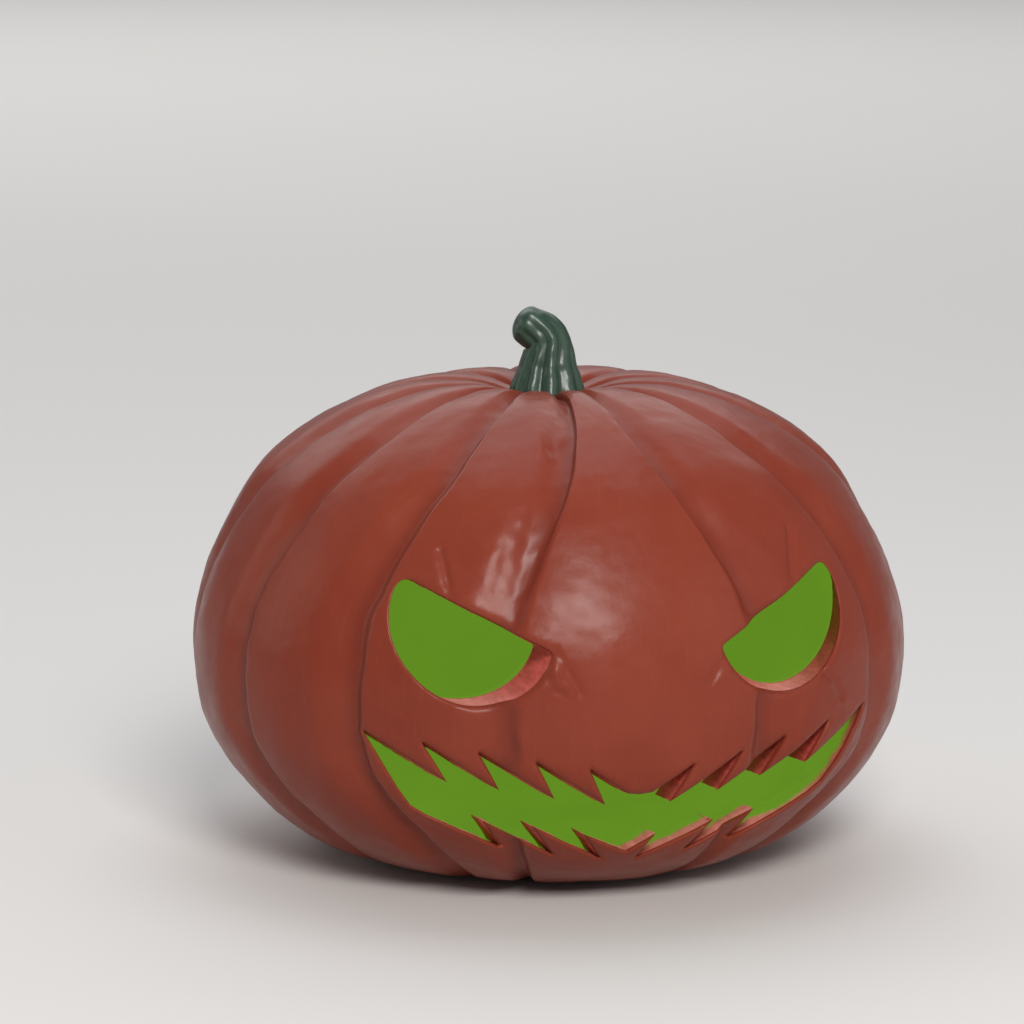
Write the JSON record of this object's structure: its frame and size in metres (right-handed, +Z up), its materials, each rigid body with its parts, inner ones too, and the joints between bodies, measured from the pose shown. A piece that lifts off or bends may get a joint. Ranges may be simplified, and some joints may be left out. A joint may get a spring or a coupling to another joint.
{
  "type": "carved pumpkin lantern",
  "caption": "Hollow ribbed pumpkin lantern with slanted eyes and a saw-toothed grin cut through its thick wall, a green glowing lining inside and a bent fluted stem on top.",
  "frame": {"origin": "middle of the flat spot that the pumpkin rests on", "axes": "+Z up, the carved face looks along -Y, +X to the right as seen from the front"},
  "size_m": [0.2996, 0.2996, 0.2294],
  "materials": {
    "rind": "smooth waxy red-orange rind, with paler cut flesh on the walls of the openings",
    "green_glow": "flat, evenly glowing leaf green",
    "stem": "dark blue-green fluted stalk with a waxy sheen"
  },
  "bodies": {
    "root": {"pumpkin_shell": "rind", "green_lining": "green_glow", "stem": "stem"}
  },
  "joints": []
}
